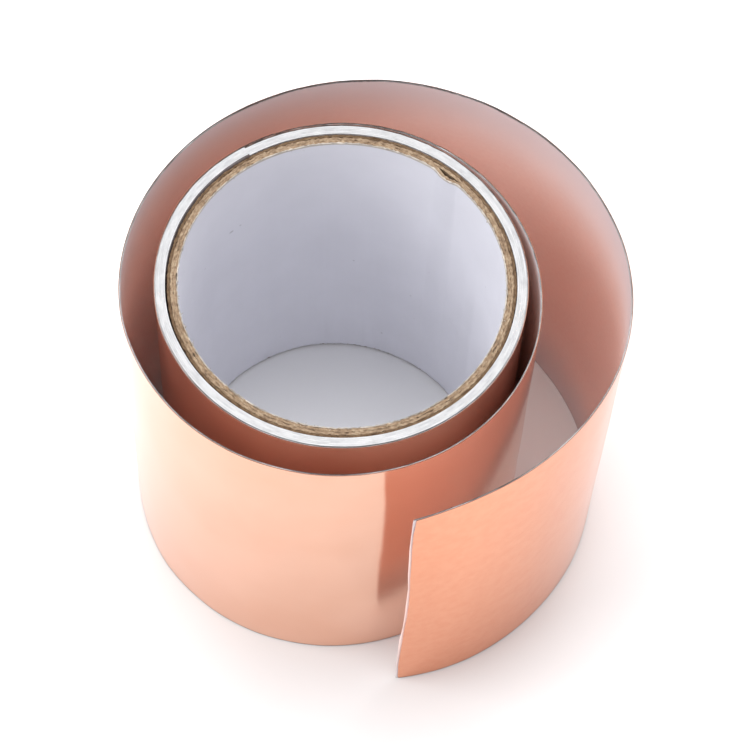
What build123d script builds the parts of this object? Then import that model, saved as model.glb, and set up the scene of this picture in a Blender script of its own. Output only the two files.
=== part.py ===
from build123d import *
from collections import namedtuple
from math import degrees, radians
import os

# A roll of copper foil tape. A paper-lined kraft core carries six tight turns of
# tape. The next turn and a half has sprung loose: it lifts off the pack, runs
# round it clockwise and passes outside its own start before the cut end.
#
# Origin: on the core's axis, at the bottom edges the roll stands on. +Z is up the axis.
# Angles are in degrees from +X, anticlockwise seen from above. The tape winds
# outwards clockwise, so its bends have negative sweeps. Sizes are in millimetres.

# tape
tape_width = 50.0
foil_edge_inset = 0.2        # the liner stands this far past the foil at each slit edge
liner_thickness = 0.13       # release paper, on the core side
adhesive_thickness = 0.03
foil_thickness = 0.05        # copper, on the outside
turn_gap = 0.01              # air between one wound turn and the next

# core
bore_radius = 19.05          # 1 1/2 inch core
lining_thickness = 0.12      # white paper inside the bore
ply_thickness = 0.38         # each of the three kraft plies
core_length = 49.8
core_fit_gap = 0.03          # between the core and the first turn

# tight turns
wound_turns = 6
lift_off_angle = 126.0       # where the loose tape leaves the pack

# loose tape: lengths of about 26 mm, each bent to its own arc, tangent to the one before.
# Each pair is the arc's sweep and how much its radius has sprung out past the pack's.
lift_off_bend = (67.0, 0.36)  # this length still lies beside the pack
loose_bends = (
    (62.0, 2.14),
    (64.5, 1.21),
    (58.5, 3.56),
    (60.0, 2.93),
    (51.5, 6.99),
    (49.0, 8.45),
    (49.0, 8.45),
    (55.0, 5.16),
    (46.0, 10.41),
)
flex_gap = 0.2               # between one loose length and the next, at its hinge
foil_end_setback = 0.3       # the liner stands this far past the foil at the cut end

# pull tab: the end of the liner, free of the adhesive
tab_length = 7.0
tab_gap = 0.04               # between the tab and the adhesive

Bend = namedtuple("Bend", "centre radius start sweep")


def direction(angle):
    return Vector(1, 0, 0).rotate(Axis.Z, angle)


def next_bend(bend, radius, sweep):
    # starts where the last bend ends, tangent to it
    end_angle = bend.start + bend.sweep
    centre = bend.centre + direction(end_angle) * (bend.radius - radius)
    return Bend(centre, radius, end_angle, sweep)


def trimmed(bend, start_trim, end_trim):
    start_turn = degrees(start_trim / bend.radius)
    end_turn = degrees(end_trim / bend.radius)
    return Bend(bend.centre, bend.radius, bend.start - start_turn, bend.sweep + start_turn + end_turn)


def start_point(bend, offset):
    return bend.centre + direction(bend.start) * (bend.radius + offset)


def tape_layer(bends, inner_offset, thickness, edge_inset):
    # offsets are outwards from the liner's inner face
    outer_offset = inner_offset + thickness
    inner_line = [CenterArc(bend.centre, bend.radius + inner_offset, bend.start, bend.sweep) for bend in bends]
    outer_line = [CenterArc(bend.centre, bend.radius + outer_offset, bend.start, bend.sweep) for bend in bends]
    start_edge = Line(inner_line[0] @ 0, outer_line[0] @ 0)
    end_edge = Line(inner_line[-1] @ 1, outer_line[-1] @ 1)
    section = make_face([*inner_line, end_edge, *outer_line, start_edge])
    return extrude(Pos(0, 0, edge_inset) * section, amount=tape_width - 2 * edge_inset, dir=(0, 0, 1))


def liner(bends, outer_face_gap=0.0):
    return tape_layer(bends, 0.0, liner_thickness - outer_face_gap, 0.0)


def adhesive(bends):
    return tape_layer(bends, liner_thickness, adhesive_thickness, foil_edge_inset)


def foil(bends):
    return tape_layer(bends, liner_thickness + adhesive_thickness, foil_thickness, foil_edge_inset)


def core_tube(inner_radius, thickness):
    wall = Circle(inner_radius + thickness) - Circle(inner_radius)
    return extrude(wall, amount=core_length)


def core_plies():
    plies = {"core_lining_paper": core_tube(bore_radius, lining_thickness)}
    inner_radius = bore_radius + lining_thickness
    for name in ("core_inner_ply", "core_middle_ply", "core_outer_ply"):
        plies[name] = core_tube(inner_radius, ply_thickness)
        inner_radius += ply_thickness
    return plies, inner_radius


def wound_bends(first_radius, turn_pitch):
    # a spiral of half turns, each larger in radius by half a turn's pitch
    bends = [Bend(Vector(0, 0, 0), first_radius, lift_off_angle, -180.0)]
    for _ in range(2 * wound_turns - 1):
        bends.append(next_bend(bends[-1], bends[-1].radius + turn_pitch / 2, -180.0))
    return bends


core_nodes, core_radius = core_plies()
tape_thickness = liner_thickness + adhesive_thickness + foil_thickness
first_turn_radius = core_radius + core_fit_gap
turn_pitch = tape_thickness + turn_gap
pack_radius = first_turn_radius + wound_turns * turn_pitch

wound_path = wound_bends(first_turn_radius, turn_pitch)
lift_off_sweep, lift_off_spring = lift_off_bend
wound_path.append(next_bend(wound_path[-1], pack_radius + lift_off_spring, -lift_off_sweep))

loose_path = []
last_bend = wound_path[-1]
for sweep, sprung_out in loose_bends:
    last_bend = next_bend(last_bend, pack_radius + sprung_out, -sweep)
    loose_path.append(last_bend)

# the tight turns end half a flex gap before the first hinge
wound_path[-1] = trimmed(wound_path[-1], 0.0, flex_gap / 2)

nodes = dict(core_nodes)
nodes["wound_liner"] = liner(wound_path)
nodes["wound_adhesive"] = adhesive(wound_path)
nodes["wound_foil"] = foil(wound_path)

hinges = {}
for number, bend in enumerate(loose_path, start=1):
    hinges[f"flex_{number}"] = start_point(bend, tape_thickness / 2)
    is_free_end = number == len(loose_path)
    foil_bend = trimmed(bend, flex_gap / 2, foil_end_setback if is_free_end else flex_gap / 2)
    liner_bend = trimmed(bend, flex_gap / 2, tab_length + flex_gap / 2 if is_free_end else flex_gap / 2)
    nodes[f"liner_length_{number}"] = liner([liner_bend])
    nodes[f"adhesive_length_{number}"] = adhesive([foil_bend])
    nodes[f"foil_length_{number}"] = foil([foil_bend])

free_end = loose_path[-1]
free_end_length = free_end.radius * radians(-free_end.sweep)
tab_bend = trimmed(free_end, free_end_length - tab_length, 0.0)
hinges["liner_peel"] = start_point(tab_bend, (liner_thickness - tab_gap) / 2)
nodes["liner_pull_tab"] = liner([trimmed(tab_bend, flex_gap / 2, 0.0)], outer_face_gap=tab_gap)

os.makedirs("parts", exist_ok=True)
for name, solid in nodes.items():
    export_step(solid, f"parts/{name}.step")

for name, point in hinges.items():
    print(f"{name} turns about a vertical line through x {point.X:.3f}, y {point.Y:.3f}")
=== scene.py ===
import math
import random

import bmesh
import bpy
from mathutils import Matrix, Vector


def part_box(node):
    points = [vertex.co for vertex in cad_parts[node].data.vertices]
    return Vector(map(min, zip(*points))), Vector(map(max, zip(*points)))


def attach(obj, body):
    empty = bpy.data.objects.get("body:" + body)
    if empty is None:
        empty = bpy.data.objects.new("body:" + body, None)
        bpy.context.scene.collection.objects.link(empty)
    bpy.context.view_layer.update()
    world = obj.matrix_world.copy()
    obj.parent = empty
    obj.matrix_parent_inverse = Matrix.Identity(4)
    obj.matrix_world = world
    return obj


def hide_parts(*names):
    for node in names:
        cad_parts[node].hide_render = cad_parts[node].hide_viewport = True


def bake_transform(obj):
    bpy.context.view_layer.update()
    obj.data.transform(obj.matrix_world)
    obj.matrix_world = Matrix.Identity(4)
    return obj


# Copper foil tape roll: core, tight turns and the loose turn with its free end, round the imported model.
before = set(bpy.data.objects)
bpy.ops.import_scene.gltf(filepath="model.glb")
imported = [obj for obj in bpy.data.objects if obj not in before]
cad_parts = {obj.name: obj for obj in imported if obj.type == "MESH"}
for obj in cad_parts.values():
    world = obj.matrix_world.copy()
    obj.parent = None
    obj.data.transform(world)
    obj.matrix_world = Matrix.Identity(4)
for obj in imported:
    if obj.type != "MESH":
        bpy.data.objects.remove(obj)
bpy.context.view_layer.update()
linerLow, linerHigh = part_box("wound_liner")
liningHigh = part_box("core_lining_paper")[1]
mm = 0.001
fullTurn = 2 * math.pi

# The core's wall in mm: lining paper, then kraft and the hair's breadth of air under the first turn.
coreWall = {"lining": 0.12, "kraftAndAir": 1.17}

# The tape's own sizes, in mm and degrees. Bends turn clockwise, each a sweep and how far it has sprung out.
tape = {
    "width": (linerHigh.z - linerLow.z) / mm,
    "linerThick": 0.13,
    "adhesiveThick": 0.03,
    "foilThick": 0.05,
    "turnPitch": 0.22,
    "firstTurn": liningHigh.x / mm + coreWall["kraftAndAir"],
    "turns": 6,
    "liftOffAngle": 126.0,
    "bends": [(67.0, 0.36), (62.0, 2.14), (64.5, 1.21), (58.5, 3.56), (60.0, 2.93),
              (51.5, 6.99), (49.0, 8.45), (49.0, 8.45), (55.0, 5.16), (46.0, 10.41)],
    "foilSetback": 0.2,
    "tabLength": 7.0,
}


def compass(angle):
    return Vector((math.cos(math.radians(angle)), math.sin(math.radians(angle)), 0))


def lengthOf(bend):
    return bend["radius"] * math.radians(bend["sweep"])


def bendAfter(last, radius, sweep):
    end = last["start"] - last["sweep"]
    centre = last["centre"] + compass(end) * (last["radius"] - radius)
    return {"centre": centre, "radius": radius, "start": end, "sweep": sweep,
            "run": last["run"] + lengthOf(last)}


def cutBend(bend, fromShare, toShare):
    cut = dict(bend)
    cut["start"] = bend["start"] - bend["sweep"] * fromShare
    cut["sweep"] = bend["sweep"] * (toShare - fromShare)
    cut["run"] = bend["run"] + lengthOf(bend) * fromShare
    return cut


# the tight turns are a spiral of half turns, then the loose bends follow on
packRadius = tape["firstTurn"] + tape["turns"] * tape["turnPitch"]
spiral = [{"centre": Vector((0, 0, 0)), "radius": tape["firstTurn"], "start": tape["liftOffAngle"],
           "sweep": 180.0, "run": 0.0}]
for halfTurn in range(2 * tape["turns"] - 1):
    spiral.append(bendAfter(spiral[-1], spiral[-1]["radius"] + tape["turnPitch"] / 2, 180.0))
loose = []
lastBend = spiral[-1]
for sweep, sprungOut in tape["bends"]:
    lastBend = bendAfter(lastBend, packRadius + sprungOut, sweep)
    loose.append(lastBend)
tapeEnd = lastBend["run"] + lengthOf(lastBend)
print("tape path set out,", round(tapeEnd), "mm")


def fromHex(text):
    # sRGB hex to the linear values that nodes want
    channels = [int(text[i:i + 2], 16) / 255 for i in (0, 2, 4)]
    linear = [c / 12.92 if c <= 0.04045 else ((c + 0.055) / 1.055) ** 2.4 for c in channels]
    return (*linear, 1.0)


def addNode(material, kind, settings=None, links=None):
    node = material.node_tree.nodes.new(kind)
    for key, value in (settings or {}).items():
        if key == "stops":
            for spare in range(len(value) - len(node.color_ramp.elements)):
                node.color_ramp.elements.new(0.5)
            for element, (position, colour) in zip(node.color_ramp.elements, value):
                element.position = position
                element.color = fromHex(colour)
        elif isinstance(key, int) or key in node.inputs:
            node.inputs[key].default_value = value
        else:
            setattr(node, key, value)
    for key, source in (links or {}).items():
        material.node_tree.links.new(source, node.inputs[key])
    return node


def newFinish(name, roughness):
    material = bpy.data.materials.new(name)
    material.use_nodes = True
    shader = material.node_tree.nodes["Principled BSDF"]
    shader.inputs["Roughness"].default_value = roughness
    return material, shader


def reachFromMiddle(material, height):
    # how far up or down from the middle of the tape, in metres
    fromMiddle = addNode(material, "ShaderNodeMath", {"operation": "SUBTRACT", 1: tape["width"] / 2 * mm},
                         {0: height})
    reach = addNode(material, "ShaderNodeMath", {"operation": "ABSOLUTE"}, {0: fromMiddle.outputs["Value"]})
    return reach.outputs["Value"]


def edgeBand(material, height, bandMm, ragged):
    # 1 within a band of the tape's two slit edges, with a ragged border
    wander = addNode(material, "ShaderNodeMath", {"operation": "MULTIPLY_ADD", 1: bandMm * mm},
                     {0: ragged, 2: reachFromMiddle(material, height)})
    edge = (tape["width"] / 2 - bandMm / 2) * mm
    band = addNode(material, "ShaderNodeMapRange", {"From Min": edge, "From Max": edge + bandMm * mm / 3},
                   {"Value": wander.outputs["Value"]})
    return band.outputs["Result"]


# Rolled copper foil: a bright satin mirror with faint rolling lines. Toward the free end it has been
# handled, so it is a little deeper in colour and finely mottled. Along both slit edges a dark band is
# painted shade: it stands in for the thin shadow lines at the rim and where the tape meets the floor.
foilFinish = {"bright": "eebda4", "warm": "eab69b", "handled": "eb9f77", "mottle": "e7966d",
              "slitEdge": "54392f", "roughness": (0.11, 0.19), "rollLineMm": 0.35, "rollLineStretch": 0.02,
              "smudgeMm": 14.0, "mottleMm": 1.6, "handledLength": 75.0, "edgeMm": 0.22,
              "bump": 0.08, "bumpMm": 0.02}


def makeFoilMaterial():
    material, shader = newFinish("rolledCopperFoil", 0.15)
    links = material.node_tree.links
    place = addNode(material, "ShaderNodeUVMap", {"uv_map": "run"})
    along = addNode(material, "ShaderNodeSeparateXYZ", links={"Vector": place.outputs["UV"]})
    smudge = addNode(material, "ShaderNodeTexNoise",
                     {"Scale": 1 / (foilFinish["smudgeMm"] * mm), "Detail": 3.0},
                     {"Vector": place.outputs["UV"]})
    mottle = addNode(material, "ShaderNodeTexNoise",
                     {"Scale": 1 / (foilFinish["mottleMm"] * mm), "Detail": 5.0, "Roughness": 0.7},
                     {"Vector": place.outputs["UV"]})
    clean = addNode(material, "ShaderNodeValToRGB",
                    {"stops": [(0.35, foilFinish["warm"]), (0.65, foilFinish["bright"])]},
                    {"Fac": smudge.outputs["Fac"]})
    used = addNode(material, "ShaderNodeValToRGB",
                   {"stops": [(0.36, foilFinish["mottle"]), (0.6, foilFinish["handled"])]},
                   {"Fac": mottle.outputs["Fac"]})
    handling = addNode(material, "ShaderNodeMapRange",
                       {"interpolation_type": "SMOOTHSTEP",
                        "From Min": (tapeEnd - foilFinish["handledLength"]) * mm,
                        "From Max": (tapeEnd - foilFinish["handledLength"] / 2) * mm},
                       {"Value": along.outputs["X"]})
    face = addNode(material, "ShaderNodeMix", {"data_type": "RGBA"},
                   {"Factor": handling.outputs["Result"],
                    6: clean.outputs["Color"], 7: used.outputs["Color"]})
    # painted shade: a dark band along both slit edges, for the thin shadow lines at the rim and at the floor
    atEdge = edgeBand(material, along.outputs["Y"], foilFinish["edgeMm"], mottle.outputs["Fac"])
    tint = addNode(material, "ShaderNodeMix", {"data_type": "RGBA", 7: fromHex(foilFinish["slitEdge"])},
                   {"Factor": atEdge, 6: face.outputs[2]})
    # rolling lines run along the tape, drawn coarser than real so that they show
    stretched = addNode(material, "ShaderNodeMapping", {"Scale": (foilFinish["rollLineStretch"], 1.0, 1.0)},
                        {"Vector": place.outputs["UV"]})
    rollLines = addNode(material, "ShaderNodeTexNoise",
                        {"Scale": 1 / (foilFinish["rollLineMm"] * mm), "Detail": 3.0},
                        {"Vector": stretched.outputs["Vector"]})
    gloss = addNode(material, "ShaderNodeMapRange",
                    {"From Min": 0.3, "From Max": 0.7, "To Min": foilFinish["roughness"][0],
                     "To Max": foilFinish["roughness"][1]}, {"Value": smudge.outputs["Fac"]})
    bump = addNode(material, "ShaderNodeBump",
                   {"Strength": foilFinish["bump"], "Distance": foilFinish["bumpMm"] * mm},
                   {"Height": rollLines.outputs["Fac"]})
    links.new(tint.outputs[2], shader.inputs["Base Color"])
    links.new(gloss.outputs["Result"], shader.inputs["Roughness"])
    links.new(bump.outputs["Normal"], shader.inputs["Normal"])
    shader.inputs["Metallic"].default_value = 1.0
    return material


# Silicone-coated release paper under a soft gloss. Its rosy cast is partly the copper behind showing
# through and partly painted copper-tinted bounce light, and it is painted paler toward both slit edges,
# standing in for the skylight that falls near the rim. The slit edges are plain paper, white with grey
# streaks.
linerFinish = {"rosy": "fee5dd", "rosyShade": "fbdfd7", "pale": "d4c9cb", "edgeWhite": "a6a6a7",
               "edgeGrey": "8b8c8d", "edgeMm": 0.3, "paintedRimLightMm": 13.0, "fibreMm": 0.6, "streakMm": 2.2,
               "bump": 0.12, "bumpMm": 0.02}


def makeLinerMaterial():
    material, shader = newFinish("siliconeReleasePaper", 0.4)
    links = material.node_tree.links
    place = addNode(material, "ShaderNodeUVMap", {"uv_map": "run"})
    along = addNode(material, "ShaderNodeSeparateXYZ", links={"Vector": place.outputs["UV"]})
    fibre = addNode(material, "ShaderNodeTexNoise",
                    {"Scale": 1 / (linerFinish["fibreMm"] * mm), "Detail": 4.0},
                    {"Vector": place.outputs["UV"]})
    # rosy face colour: partly the copper showing through, partly painted copper-tinted bounce light
    face = addNode(material, "ShaderNodeValToRGB",
                   {"stops": [(0.3, linerFinish["rosyShade"]), (0.7, linerFinish["rosy"])]},
                   {"Fac": fibre.outputs["Fac"]})
    halfWidth = tape["width"] / 2 * mm
    # painted light: the paper turns paler toward both slit edges, standing in for the skylight near the rim
    fade = addNode(material, "ShaderNodeMapRange",
                   {"interpolation_type": "SMOOTHSTEP", "From Min": halfWidth - linerFinish["paintedRimLightMm"] * mm,
                    "From Max": halfWidth}, {"Value": reachFromMiddle(material, along.outputs["Y"])})
    faded = addNode(material, "ShaderNodeMix", {"data_type": "RGBA", 7: fromHex(linerFinish["pale"])},
                    {"Factor": fade.outputs["Result"], 6: face.outputs["Color"]})
    streak = addNode(material, "ShaderNodeTexNoise",
                     {"Scale": 1 / (linerFinish["streakMm"] * mm), "Detail": 5.0, "Roughness": 0.6},
                     {"Vector": place.outputs["UV"]})
    paper = addNode(material, "ShaderNodeValToRGB",
                    {"stops": [(0.32, linerFinish["edgeGrey"]), (0.62, linerFinish["edgeWhite"])]},
                    {"Fac": streak.outputs["Fac"]})
    atEdge = edgeBand(material, along.outputs["Y"], linerFinish["edgeMm"], fibre.outputs["Fac"])
    tint = addNode(material, "ShaderNodeMix", {"data_type": "RGBA"},
                   {"Factor": atEdge, 6: faded.outputs[2], 7: paper.outputs["Color"]})
    bump = addNode(material, "ShaderNodeBump",
                   {"Strength": linerFinish["bump"], "Distance": linerFinish["bumpMm"] * mm},
                   {"Height": fibre.outputs["Fac"]})
    links.new(tint.outputs[2], shader.inputs["Base Color"])
    links.new(bump.outputs["Normal"], shader.inputs["Normal"])
    return material


# Acrylic adhesive, water clear: the copper behind it shows, a little duller, under an orange-peel gloss.
# Along its edges it has picked up dust.
adhesiveFinish = {"clear": "dfa88d", "cloudy": "d69d82", "dusty": "5e5048", "dustyMm": 0.5, "cloudMm": 5.0,
                  "peelMm": 1.2, "bump": 0.15, "bumpMm": 0.02}


def makeAdhesiveMaterial():
    material, shader = newFinish("acrylicAdhesive", 0.28)
    links = material.node_tree.links
    place = addNode(material, "ShaderNodeUVMap", {"uv_map": "run"})
    along = addNode(material, "ShaderNodeSeparateXYZ", links={"Vector": place.outputs["UV"]})
    cloud = addNode(material, "ShaderNodeTexNoise", {"Scale": 1 / (adhesiveFinish["cloudMm"] * mm)},
                    {"Vector": place.outputs["UV"]})
    tint = addNode(material, "ShaderNodeValToRGB",
                   {"stops": [(0.4, adhesiveFinish["cloudy"]), (0.6, adhesiveFinish["clear"])]},
                   {"Fac": cloud.outputs["Fac"]})
    peel = addNode(material, "ShaderNodeTexNoise", {"Scale": 1 / (adhesiveFinish["peelMm"] * mm)},
                   {"Vector": place.outputs["UV"]})
    atEdge = edgeBand(material, along.outputs["Y"], adhesiveFinish["dustyMm"], peel.outputs["Fac"])
    face = addNode(material, "ShaderNodeMix", {"data_type": "RGBA", 7: fromHex(adhesiveFinish["dusty"])},
                   {"Factor": atEdge, 6: tint.outputs["Color"]})
    bump = addNode(material, "ShaderNodeBump",
                   {"Strength": adhesiveFinish["bump"], "Distance": adhesiveFinish["bumpMm"] * mm},
                   {"Height": peel.outputs["Fac"]})
    links.new(face.outputs[2], shader.inputs["Base Color"])
    links.new(bump.outputs["Normal"], shader.inputs["Normal"])
    shader.inputs["Metallic"].default_value = 1.0
    return material


# Kraft board, sawn across its plies: brown fibres lying round the tube, pale flecks and dark pits.
kraftFinish = {"dark": "5d4e41", "mid": "826d58", "pale": "9a8973", "fibreMm": 0.16, "fibreStretch": 0.35,
               "pitMm": 0.8, "pitShare": 0.6, "outerShade": "b8aea4", "bump": 0.6, "bumpMm": 0.08}


def makeKraftMaterial(name, shade):
    material, shader = newFinish(name, 0.95)
    links = material.node_tree.links
    place = addNode(material, "ShaderNodeTexCoord")
    # round the tube, out from its axis, and up
    flat = addNode(material, "ShaderNodeSeparateXYZ", links={"Vector": place.outputs["Object"]})
    turned = addNode(material, "ShaderNodeMath", {"operation": "ARCTAN2"},
                     {0: flat.outputs["Y"], 1: flat.outputs["X"]})
    roundWay = addNode(material, "ShaderNodeMath",
                       {"operation": "MULTIPLY", 1: tape["firstTurn"] * mm * kraftFinish["fibreStretch"]},
                       {0: turned.outputs["Value"]})
    level = addNode(material, "ShaderNodeCombineXYZ", links={"X": flat.outputs["X"], "Y": flat.outputs["Y"]})
    outWay = addNode(material, "ShaderNodeVectorMath", {"operation": "LENGTH"}, {0: level.outputs["Vector"]})
    unrolled = addNode(material, "ShaderNodeCombineXYZ",
                       links={"X": roundWay.outputs["Value"], "Y": outWay.outputs["Value"],
                              "Z": flat.outputs["Z"]})
    fibre = addNode(material, "ShaderNodeTexNoise",
                    {"Scale": 1 / (kraftFinish["fibreMm"] * mm), "Detail": 5.0, "Roughness": 0.6},
                    {"Vector": unrolled.outputs["Vector"]})
    pits = addNode(material, "ShaderNodeTexNoise", {"Scale": 1 / (kraftFinish["pitMm"] * mm), "Detail": 3.0},
                   {"Vector": place.outputs["Object"]})
    mixed = addNode(material, "ShaderNodeMath", {"operation": "MULTIPLY_ADD", 1: kraftFinish["pitShare"]},
                    {0: pits.outputs["Fac"], 2: fibre.outputs["Fac"]})
    tint = addNode(material, "ShaderNodeValToRGB",
                   {"stops": [(0.55, kraftFinish["dark"]), (0.78, kraftFinish["mid"]),
                              (1.0, kraftFinish["pale"])]},
                   {"Fac": mixed.outputs["Value"]})
    shaded = addNode(material, "ShaderNodeMix",
                     {"data_type": "RGBA", "blend_type": "MULTIPLY", "Factor": 1.0, 7: fromHex(shade)},
                     {6: tint.outputs["Color"]})
    bump = addNode(material, "ShaderNodeBump",
                   {"Strength": kraftFinish["bump"], "Distance": kraftFinish["bumpMm"] * mm},
                   {"Height": mixed.outputs["Value"]})
    links.new(shaded.outputs[2], shader.inputs["Base Color"])
    links.new(bump.outputs["Normal"], shader.inputs["Normal"])
    shader.inputs["Specular IOR Level"].default_value = 0.2
    return material


# White lining paper: matt, cool white, with a faint cloudy formation and a few specks. The saw left its top
# edge and the fibres there dusty with kraft.
liningFinish = {"white": "d6d6dc", "cloud": "d3d3d9", "speck": "b8b7bb", "cloudMm": 6.0, "speckMm": 1.1,
                "specksFrom": (0.79, 0.83), "sawn": "b0a89e", "sawnLevels": (49.45, 49.6),
                "bump": 0.05, "bumpMm": 0.02}


def makeLiningMaterial():
    material, shader = newFinish("whiteLiningPaper", 0.6)
    links = material.node_tree.links
    place = addNode(material, "ShaderNodeTexCoord")
    cloud = addNode(material, "ShaderNodeTexNoise",
                    {"Scale": 1 / (liningFinish["cloudMm"] * mm), "Detail": 6.0},
                    {"Vector": place.outputs["Object"]})
    paper = addNode(material, "ShaderNodeValToRGB",
                    {"stops": [(0.35, liningFinish["cloud"]), (0.65, liningFinish["white"])]},
                    {"Fac": cloud.outputs["Fac"]})
    dust = addNode(material, "ShaderNodeTexNoise",
                   {"Scale": 1 / (liningFinish["speckMm"] * mm), "Detail": 1.0},
                   {"Vector": place.outputs["Object"]})
    speckled = addNode(material, "ShaderNodeMapRange",
                       {"From Min": liningFinish["specksFrom"][0],
                        "From Max": liningFinish["specksFrom"][1]},
                       {"Value": dust.outputs["Fac"]})
    tint = addNode(material, "ShaderNodeMix", {"data_type": "RGBA", 7: fromHex(liningFinish["speck"])},
                   {"Factor": speckled.outputs["Result"], 6: paper.outputs["Color"]})
    height = addNode(material, "ShaderNodeSeparateXYZ", links={"Vector": place.outputs["Object"]})
    sawn = addNode(material, "ShaderNodeMapRange",
                   {"From Min": liningFinish["sawnLevels"][0] * mm,
                    "From Max": liningFinish["sawnLevels"][1] * mm},
                   {"Value": height.outputs["Z"]})
    face = addNode(material, "ShaderNodeMix", {"data_type": "RGBA", 7: fromHex(liningFinish["sawn"])},
                   {"Factor": sawn.outputs["Result"], 6: tint.outputs[2]})
    bump = addNode(material, "ShaderNodeBump",
                   {"Strength": liningFinish["bump"], "Distance": liningFinish["bumpMm"] * mm},
                   {"Height": cloud.outputs["Fac"]})
    links.new(face.outputs[2], shader.inputs["Base Color"])
    links.new(bump.outputs["Normal"], shader.inputs["Normal"])
    return material


copperFoil = makeFoilMaterial()
releasePaper = makeLinerMaterial()
adhesiveFilm = makeAdhesiveMaterial()
liningPaper = makeLiningMaterial()
kraftInner = makeKraftMaterial("kraftBoardInner", "ffffff")
kraftOuter = makeKraftMaterial("kraftBoardOuter", kraftFinish["outerShade"])
print("materials made")


def deselectAll():
    if bpy.context.object and bpy.context.object.mode != "OBJECT":
        bpy.ops.object.mode_set(mode="OBJECT")
    bpy.ops.object.select_all(action="DESELECT")


def workOn(piece):
    deselectAll()
    bpy.context.view_layer.objects.active = piece
    piece.select_set(True)


def pickVertices(piece, wanted):
    # in edit mode: selects the vertices whose place passes the test
    editMesh = bmesh.from_edit_mesh(piece.data)
    for element in [*editMesh.faces, *editMesh.edges]:
        element.select_set(False)
    for vertex in editMesh.verts:
        vertex.select_set(wanted(vertex.co))
    editMesh.select_flush_mode()
    bmesh.update_edit_mesh(piece.data)


def pickEdges(piece, wanted):
    editMesh = bmesh.from_edit_mesh(piece.data)
    for element in [*editMesh.faces, *editMesh.edges, *editMesh.verts]:
        element.select_set(False)
    for edge in editMesh.edges:
        if wanted(edge.verts[0].co, edge.verts[1].co):
            edge.select_set(True)
    bmesh.update_edit_mesh(piece.data)


def pickFaces(piece, wanted):
    editMesh = bmesh.from_edit_mesh(piece.data)
    for face in editMesh.faces:
        face.select_set(False)
    for face in editMesh.faces:
        if wanted(face.calc_center_median()):
            face.select_set(True)
    bmesh.update_edit_mesh(piece.data)


def cutLevels(levels):
    # level cuts through whatever is being edited, at heights in mm
    for level in levels:
        bpy.ops.mesh.select_all(action="SELECT")
        bpy.ops.mesh.bisect(plane_co=(0, 0, level * mm), plane_no=(0, 0, 1))


def uprightSection(name, inner, angle, thick, bottom, top):
    # a thin upright rectangle whose inner edge is at that point, facing that way; left in edit mode
    deselectAll()
    middle = inner + compass(angle) * thick / 2
    bpy.ops.mesh.primitive_plane_add(size=1, location=Vector((middle.x, middle.y, (top + bottom) / 2)) * mm,
                                     rotation=(math.radians(90), 0, math.radians(angle)))
    section = bpy.context.object
    section.name = name
    section.scale = (thick * mm, (top - bottom) * mm, 1)
    bpy.ops.object.transform_apply(location=True, rotation=True, scale=True)
    bpy.ops.object.mode_set(mode="EDIT")
    return section


# Slit edges: the knife leaves paper edges swollen, and every edge a little nicked.
slitEdge = {"cuts": (0.12, 0.35, 1.0), "swell": 0.075, "swellReach": 1.1, "nickMm": 0.9, "chipMm": 7.0,
            "packNick": 0.1}
pickGap = 0.02  # how near, in mm, a vertex has to be to count as on an edge
mergeGap = 0.001


def spinStrip(name, bends, layer, rows, stepMm, swell=0.0):
    # the layer's thin section, spun round each bend in turn
    first = bends[0]
    facing = compass(first["start"])
    inner = first["centre"] + facing * (first["radius"] + layer["inner"])
    bottom, top = layer["inset"], tape["width"] - layer["inset"]
    strip = uprightSection(name, inner, first["start"], layer["thick"], bottom, top)
    if rows > 1:
        pickEdges(strip, lambda a, b: abs(a.z - b.z) > (top - bottom) * mm / 2)
        bpy.ops.mesh.subdivide(number_cuts=rows - 1)
    cutLevels([top - cut for cut in slitEdge["cuts"]] + [bottom + cut for cut in slitEdge["cuts"]])
    if swell:
        outerFace = (inner + facing * layer["thick"] / 2).dot(facing) * mm
        swellFrom = (tape["width"] / 2 - slitEdge["cuts"][0] * slitEdge["swellReach"]) * mm
        pickVertices(strip, lambda at: at.dot(facing) > outerFace
                     and abs(at.z - tape["width"] / 2 * mm) > swellFrom)
        bpy.ops.transform.translate(value=facing * swell * mm)
    sectionSize = len(bmesh.from_edit_mesh(strip.data).verts)
    bpy.ops.mesh.select_all(action="SELECT")
    runs = [first["run"]]
    for bend in bends:
        steps = max(2, round(lengthOf(bend) / stepMm))
        bpy.ops.mesh.spin(steps=steps, angle=math.radians(bend["sweep"]), center=bend["centre"] * mm,
                          axis=(0, 0, 1))
        runs += [bend["run"] + lengthOf(bend) * (step + 1) / steps for step in range(steps)]
    bpy.ops.object.mode_set(mode="OBJECT")
    # UV map in metres: along the tape, and up it
    unrolled = strip.data.uv_layers.active or strip.data.uv_layers.new()
    unrolled.name = "run"
    for loop in strip.data.loops:
        ring = loop.vertex_index // sectionSize
        unrolled.data[loop.index].uv = (runs[ring] * mm, strip.data.vertices[loop.vertex_index].co.z)
    return strip


# Slow waves in the wound tape and its core, the same in every layer so that they stay together.
unevenness = {"waveMm": 9.0, "sideways": 0.2}


def cloudTexture(name, sizeMm, depth=1):
    cloud = bpy.data.textures.new(name, "CLOUDS")
    cloud.noise_scale = sizeMm * mm
    cloud.noise_depth = depth
    cloud.noise_basis = "ORIGINAL_PERLIN"
    return cloud


waves = cloudTexture("tapeWaves", unevenness["waveMm"])
nicks = cloudTexture("edgeNicks", slitEdge["nickMm"], 2)
chips = cloudTexture("edgeChips", slitEdge["chipMm"], 2)


def pushOut(piece, texture, direction, strengthMm, midLevel=0.5, group=""):
    push = piece.modifiers.new("push" + direction, "DISPLACE")
    push.texture = texture
    push.texture_coords = "LOCAL"
    push.direction = direction
    push.mid_level = midLevel
    push.strength = strengthMm * mm
    push.vertex_group = group
    bpy.ops.object.modifier_apply(modifier=push.name)


def addWaves(piece):
    workOn(piece)
    for direction in ("X", "Y"):
        pushOut(piece, waves, direction, unevenness["sideways"])


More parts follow.
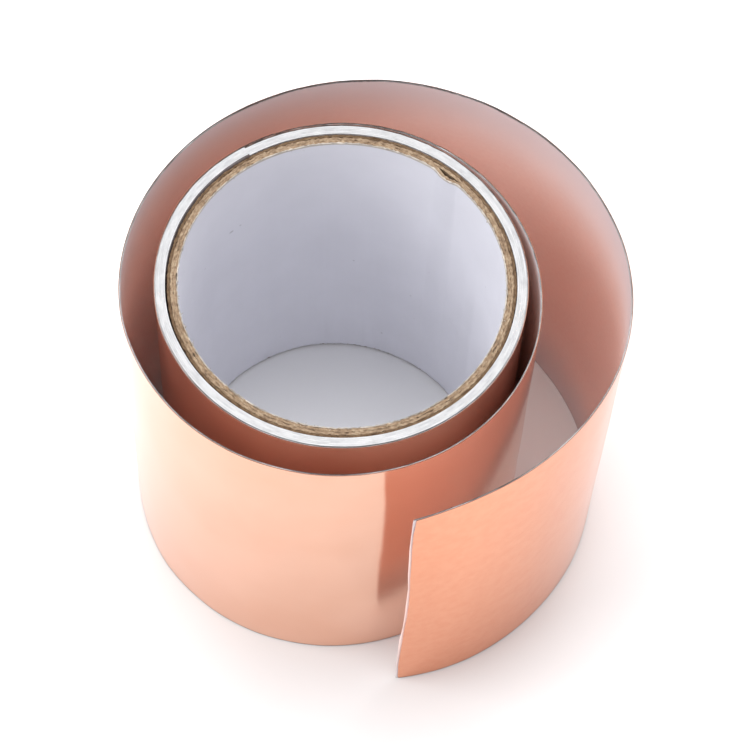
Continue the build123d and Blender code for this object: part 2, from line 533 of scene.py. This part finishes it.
def nickEdges(piece, bottom, top, nickMm, chipMm):
    # the top edge only loses height and the bottom edge only gains it, so nothing reaches below the floor
    workOn(piece)
    for groupName, level, midLevel in (("topEdge", top, 1.0), ("bottomEdge", bottom, 0.0)):
        bpy.ops.object.mode_set(mode="EDIT")
        pickVertices(piece, lambda at: abs(at.z - level * mm) < pickGap * mm)
        bpy.ops.object.vertex_group_assign_new()
        bpy.ops.object.mode_set(mode="OBJECT")
        piece.vertex_groups[-1].name = groupName
        pushOut(piece, nicks, "Z", nickMm, midLevel, groupName)
        if chipMm:
            pushOut(piece, chips, "Z", chipMm, midLevel, groupName)
    bpy.ops.object.vertex_group_remove(all=True)


def finishPiece(piece, material, sharpAngle=40):
    workOn(piece)
    bpy.ops.object.shade_smooth_by_angle(angle=math.radians(sharpAngle))
    piece.data.materials.clear()
    piece.data.materials.append(material)


# inner is how far the layer lies outside the tape's inner face; inset is how far its slit edges stand back
layers = {
    "foil": {"inner": tape["linerThick"] + tape["adhesiveThick"], "thick": tape["foilThick"],
             "inset": 0.04, "hiddenInset": 0.2, "rows": 12, "step": 0.25, "tightRows": 2, "tightStep": 1.0,
             "nick": 0.07, "chip": 0.06, "finish": copperFoil, "slot": "copper_foil"},
    "adhesive": {"inner": tape["linerThick"], "thick": tape["adhesiveThick"],
                 "inset": 0.2, "hiddenInset": 0.3, "rows": 12, "step": 1.0, "tightRows": 2, "tightStep": 1.0,
                 "nick": 0.0, "chip": 0.0, "finish": adhesiveFilm, "slot": "acrylic_adhesive"},
    "liner": {"inner": 0.0, "thick": tape["linerThick"],
              "inset": 0.0, "hiddenInset": 0.0, "rows": 12, "step": 0.25, "tightRows": 2, "tightStep": 0.4,
              "nick": 0.2, "chip": 0.34, "finish": releasePaper, "slot": "release_paper"},
}


def layerStrip(name, kind, bends):
    layer = layers[kind]
    strip = spinStrip(name, bends, layer, layer["rows"], layer["step"])
    if layer["nick"]:
        nickEdges(strip, layer["inset"], tape["width"] - layer["inset"], layer["nick"], layer["chip"])
    addWaves(strip)
    finishPiece(strip, layer["finish"])
    return strip


# loose turn: each strip runs from the middle of one bend to the middle of the next, and flexes between
for kind in layers:
    for number in range(len(loose) - 1):
        bends = [cutBend(loose[number], 0.5, 1), cutBend(loose[number + 1], 0, 0.5)]
        strip = layerStrip(f"{kind}Flex{number + 1}", kind, bends)
        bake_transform(strip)
        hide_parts(f"{kind}_length_{number + 1}")
    print(kind, "lengths made")

# The cut end leans out at its top corner, the scissors wandered, and the liner has parted a little.
freeEnd = {"leanLength": 12.0, "topOut": 0.8, "bottomOut": -0.35,
           "wander": 0.2, "wanderWaves": 1.35, "wanderStart": 0.08,
           "ragged": 0.07, "raggedWaves": (4, 7, 12), "cutLength": 2,
           "partLength": 5.0, "linerParts": 0.15, "curlLength": 3.0}
endBend = loose[-1]


def shapeFreeEnd(strip, parts=0.0, seed=1):
    lastAngle = endBend["start"] - endBend["sweep"]
    outward = compass(lastAngle)
    along = Vector((outward.y, -outward.x, 0))
    dice = random.Random(seed)
    phases = [dice.uniform(0, fullTurn) for wave in freeEnd["raggedWaves"]]
    for vertex in strip.data.vertices:
        arm = Vector((vertex.co.x, vertex.co.y, 0)) / mm - endBend["centre"]
        angle = math.degrees(math.atan2(arm.y, arm.x))
        toEnd = math.radians((angle - lastAngle + 180) % 360 - 180) * arm.length
        height = vertex.co.z / mm / tape["width"]
        lean = max(0.0, 1 - toEnd / freeEnd["leanLength"]) ** 2
        out = lean * (freeEnd["bottomOut"] + (freeEnd["topOut"] - freeEnd["bottomOut"]) * height)
        out -= parts * max(0.0, 1 - toEnd / freeEnd["partLength"]) ** 2 * math.sin(math.pi * height) ** 0.5
        wanderAt = height * freeEnd["wanderWaves"] + freeEnd["wanderStart"]
        cut = freeEnd["wander"] * math.sin(fullTurn * wanderAt)
        cut += freeEnd["ragged"] * sum(math.sin(height * fullTurn * wave + phase)
                                       for wave, phase in zip(freeEnd["raggedWaves"], phases)) / 2
        vertex.co += (outward * out + along * cut * max(0.0, 1 - toEnd / freeEnd["cutLength"])) * mm


endLength = lengthOf(endBend)
foilShare = 1 - tape["foilSetback"] / endLength
for seed, kind in enumerate(("foil", "adhesive")):
    strip = layerStrip(f"{kind}FreeEnd", kind, [cutBend(endBend, 0.5, foilShare)])
    shapeFreeEnd(strip, seed=seed)
    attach(strip, "tail_9")
# the liner runs on past its joint, and curls away from the adhesive from there
strip = layerStrip("linerFreeEnd", "liner", [cutBend(endBend, 0.5, 1)])
shapeFreeEnd(strip, freeEnd["linerParts"], seed=3)
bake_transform(strip)
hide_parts("liner_pull_tab")
print("free end made")

# Tight turns: one spiral for each layer, then the outer turn up to where the loose strips begin.
for kind in layers:
    layer = dict(layers[kind], inset=layers[kind]["hiddenInset"])
    swell = slitEdge["swell"] if kind == "liner" else 0.0
    turns = spinStrip(f"{kind}TightTurns", spiral[:-2], layer, layer["tightRows"], layer["tightStep"], swell)
    if kind == "liner":
        nickEdges(turns, layer["inset"], tape["width"] - layer["inset"], slitEdge["packNick"], 0.0)
    addWaves(turns)
    finishPiece(turns, layer["finish"])
    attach(turns, "roll")
    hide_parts(f"wound_{kind}")
    outer = layerStrip(f"{kind}OuterTurn", kind, spiral[-2:] + [cutBend(loose[0], 0, 0.5)])
    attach(outer, "roll")
print("tight turns made")

# Core: three kraft plies and the lining paper, each with its own height, their ends roughened by the saw.
bore = liningHigh.x / mm - coreWall["lining"]
core = {
    "stepMm": 0.3,
    "columns": 3,
    "topCuts": (0.15, 0.4, 0.9),
    "bottomCuts": (0.15, 0.4),
    "roughDepth": 0.2,
    "roughEvenly": 0.6,
    "plies": {
        "liningPaper": {"node": "core_lining_paper", "inner": bore, "thick": coreWall["lining"],
                        "bottom": 0.3, "top": 49.88, "rough": 0.05, "ragged": 0.12,
                        "finish": liningPaper, "slot": "lining_paper"},
        "innerPly": {"node": "core_inner_ply", "inner": bore + 0.13, "thick": 0.37, "bottom": 0.12,
                     "top": 49.82, "rough": 0.09, "ragged": 0.1,
                     "finish": kraftInner, "slot": "kraft_board"},
        "middlePly": {"node": "core_middle_ply", "inner": bore + 0.51, "thick": 0.36, "bottom": 0.12,
                      "top": 49.78, "rough": 0.07, "ragged": 0.1,
                      "finish": kraftInner, "slot": "kraft_board"},
        "outerPly": {"node": "core_outer_ply", "inner": bore + 0.89, "thick": 0.33, "bottom": 0.12,
                     "top": 49.8, "rough": 0.06, "ragged": 0.1,
                     "finish": kraftOuter, "slot": "kraft_board"},
    },
    "tornPlies": ("liningPaper", "innerPly"),
    "tearAngle": 53.0,
    "tearSpot": 0.5,
    "tearIn": 0.42,
    "tearReach": 1.7,
}


def spinPly(name, ply, seed):
    bottom, top = ply["bottom"], ply["top"]
    ring = uprightSection(name, Vector((ply["inner"], 0, 0)), 0, ply["thick"], bottom, top)
    cutLevels([top - cut for cut in core["topCuts"]] + [bottom + cut for cut in core["bottomCuts"]])
    pickEdges(ring, lambda a, b: abs(a.x - b.x) > ply["thick"] * mm / 2)
    bpy.ops.mesh.subdivide(number_cuts=core["columns"] - 1)
    bpy.ops.mesh.select_all(action="SELECT")
    steps = round(fullTurn * ply["inner"] / core["stepMm"])
    # merging as it spins would leave a wall across the ring at every step
    bpy.ops.mesh.spin(steps=steps, angle=fullTurn, center=(0, 0, 0), axis=(0, 0, 1), use_auto_merge=False)
    bpy.ops.mesh.select_all(action="SELECT")
    bpy.ops.mesh.remove_doubles(threshold=mergeGap * mm)
    # the section that was spun still stands inside the closed ring
    bpy.ops.mesh.select_mode(type="FACE")
    pickFaces(ring, lambda at: at.x > 0 and abs(at.y) < pickGap * mm)
    bpy.ops.mesh.delete(type="ONLY_FACE")
    bpy.ops.mesh.select_mode(type="VERT")
    bpy.ops.mesh.select_all(action="SELECT")
    bpy.ops.mesh.delete_loose()
    bpy.ops.mesh.select_all(action="SELECT")
    bpy.ops.mesh.normals_make_consistent(inside=False)
    roughTop, roughBottom = (top - core["roughDepth"]) * mm, (bottom + core["roughDepth"]) * mm
    pickVertices(ring, lambda at: at.z > roughTop or at.z < roughBottom)
    bpy.ops.transform.vertex_random(offset=ply["rough"] * mm, uniform=core["roughEvenly"], normal=0.0,
                                    seed=seed)
    bpy.ops.object.mode_set(mode="OBJECT")
    return ring


def tearPly(ring, ply):
    # a scrap pushed into the bore where the saw came through
    workOn(ring)
    bpy.ops.object.mode_set(mode="EDIT")
    inward = -compass(core["tearAngle"])
    spot = (-inward * ply["inner"] + Vector((0, 0, ply["top"]))) * mm
    pickVertices(ring, lambda at: (at - spot).length < core["tearSpot"] * mm)
    bpy.ops.transform.translate(value=inward * core["tearIn"] * mm, use_proportional_edit=True,
                                proportional_edit_falloff="SMOOTH", proportional_size=core["tearReach"] * mm)
    bpy.ops.object.mode_set(mode="OBJECT")


for seed, (name, ply) in enumerate(core["plies"].items()):
    ring = spinPly(name, ply, seed + 3)
    nickEdges(ring, ply["bottom"], ply["top"], ply["ragged"], ply["ragged"])
    if name in core["tornPlies"]:
        tearPly(ring, ply)
    addWaves(ring)
    finishPiece(ring, ply["finish"], 60)
    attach(ring, "roll")
    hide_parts(ply["node"])
print("core made")

# Torn paper fibres along the core's sawn edge: one tapering sliver each, curled at random.
fuzz = {"count": 150, "longest": 0.75, "shortest": 0.25, "thick": 0.035, "curl": 0.07,
        "below": 0.12, "levels": 0.1, "inMean": 0.02, "inSpread": 0.12, "tilt": 75}


def sproutFibres():
    dice = random.Random(11)
    deselectAll()
    fuzzTop = core["plies"]["innerPly"]["top"] - fuzz["below"]
    for count in range(fuzz["count"]):
        angle = dice.uniform(0, 360)
        outBy = bore + abs(dice.gauss(fuzz["inMean"], fuzz["inSpread"]))
        spot = compass(angle) * outBy + Vector((0, 0, fuzzTop + dice.uniform(-fuzz["levels"], 0)))
        length = dice.uniform(fuzz["shortest"], fuzz["longest"])
        tilt = (math.radians(dice.uniform(-fuzz["tilt"], fuzz["tilt"])),
                math.radians(dice.uniform(-fuzz["tilt"], fuzz["tilt"])), dice.uniform(0, fullTurn))
        bpy.ops.mesh.primitive_cone_add(vertices=3, radius1=fuzz["thick"] * mm,
                                        radius2=fuzz["thick"] * mm / 4, depth=length * mm,
                                        location=spot * mm, rotation=tilt)
        if count == 0:
            fibres = bpy.context.object
            fibres.name = "tornFibres"
            bpy.ops.object.transform_apply(location=True, rotation=True, scale=True)
            bpy.ops.object.mode_set(mode="EDIT")
    bpy.ops.mesh.select_all(action="SELECT")
    bpy.ops.mesh.subdivide(number_cuts=1)
    bpy.ops.transform.vertex_random(offset=fuzz["curl"] * mm, uniform=0.0, normal=0.0, seed=5)
    bpy.ops.mesh.select_all(action="SELECT")
    bpy.ops.mesh.normals_make_consistent(inside=False)
    bpy.ops.object.mode_set(mode="OBJECT")
    return fibres


fibres = sproutFibres()
finishPiece(fibres, liningPaper, 180)
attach(fibres, "roll")
print("fibres made")

# Studio: pale floor, white surround and three soft boxes.
studio = {"floorSize": 3.0, "floorPale": "dbdbdb", "floorShade": "d8d8d8", "floorCloudMm": 25.0,
          "surroundColour": "fdfcff", "surround": 1.0, "boxSize": 0.5,
          "boxes": {"leftSoftBox": ((-0.52, -0.1, 0.53), 3.2), "backSoftBox": ((0.25, 0.5, 0.6), 0.8),
                    "topSoftBox": ((0, 0.2, 0.72), 4.5)}}
deselectAll()
bpy.ops.mesh.primitive_plane_add(size=studio["floorSize"], location=(0, 0, 0))
floor = bpy.context.object
floor.name = "paleFloor"
floorMaterial, floorShader = newFinish("paleMattBoard", 0.9)
floorPlace = addNode(floorMaterial, "ShaderNodeTexCoord")
floorCloud = addNode(floorMaterial, "ShaderNodeTexNoise", {"Scale": 1 / (studio["floorCloudMm"] * mm)},
                     {"Vector": floorPlace.outputs["Object"]})
floorTint = addNode(floorMaterial, "ShaderNodeValToRGB",
                    {"stops": [(0.3, studio["floorShade"]), (0.7, studio["floorPale"])]},
                    {"Fac": floorCloud.outputs["Fac"]})
floorMaterial.node_tree.links.new(floorTint.outputs["Color"], floorShader.inputs["Base Color"])
floor.data.materials.append(floorMaterial)

world = bpy.data.worlds.new("whiteTent")
bpy.context.scene.world = world
world.use_nodes = True
world.node_tree.nodes["Background"].inputs["Color"].default_value = fromHex(studio["surroundColour"])
world.node_tree.nodes["Background"].inputs["Strength"].default_value = studio["surround"]


def softBox(name, place, power):
    lightData = bpy.data.lights.new(name, "AREA")
    lightData.shape = "DISK"
    lightData.size = studio["boxSize"]
    lightData.energy = power
    lamp = bpy.data.objects.new(name, lightData)
    bpy.context.scene.collection.objects.link(lamp)
    lamp.location = place
    aim = Vector((0, 0, tape["width"] / 2 * mm))
    lamp.rotation_euler = (aim - Vector(place)).to_track_quat("-Z", "Y").to_euler()


for name, (place, power) in studio["boxes"].items():
    softBox(name, place, power)

# Camera: looking down on the roll from the front, lens in mm on a 36 mm wide film.
view = {"lens": 124.38, "film": 36.0, "clipStart": 0.01, "elevation": 61.8, "distance": 350.94,
        "roll": 3.615, "target": (4.474, 14.686, 0),
        "bounces": 32, "diffuseBounces": 12, "glossyBounces": 20}
cameraData = bpy.data.cameras.new("camera")
cameraData.sensor_width = view["film"]
cameraData.lens = view["lens"]
cameraData.clip_start = view["clipStart"]
camera = bpy.data.objects.new("camera", cameraData)
bpy.context.scene.collection.objects.link(camera)
lookDown = math.radians(view["elevation"])
back = Vector((0, -math.cos(lookDown), math.sin(lookDown)))
spot = (Vector(view["target"]) + back * view["distance"]) * mm
camera.matrix_world = (Matrix.Translation(spot) @ Matrix.Rotation(math.radians(90) - lookDown, 4, "X")
                       @ Matrix.Rotation(math.radians(view["roll"]), 4, "Z"))
bpy.context.scene.camera = camera
bpy.context.scene.view_settings.view_transform = "Standard"
# light goes many times between the turns before it comes out again
bpy.context.scene.cycles.max_bounces = view["bounces"]
bpy.context.scene.cycles.diffuse_bounces = view["diffuseBounces"]
bpy.context.scene.cycles.glossy_bounces = view["glossyBounces"]
print("studio set")
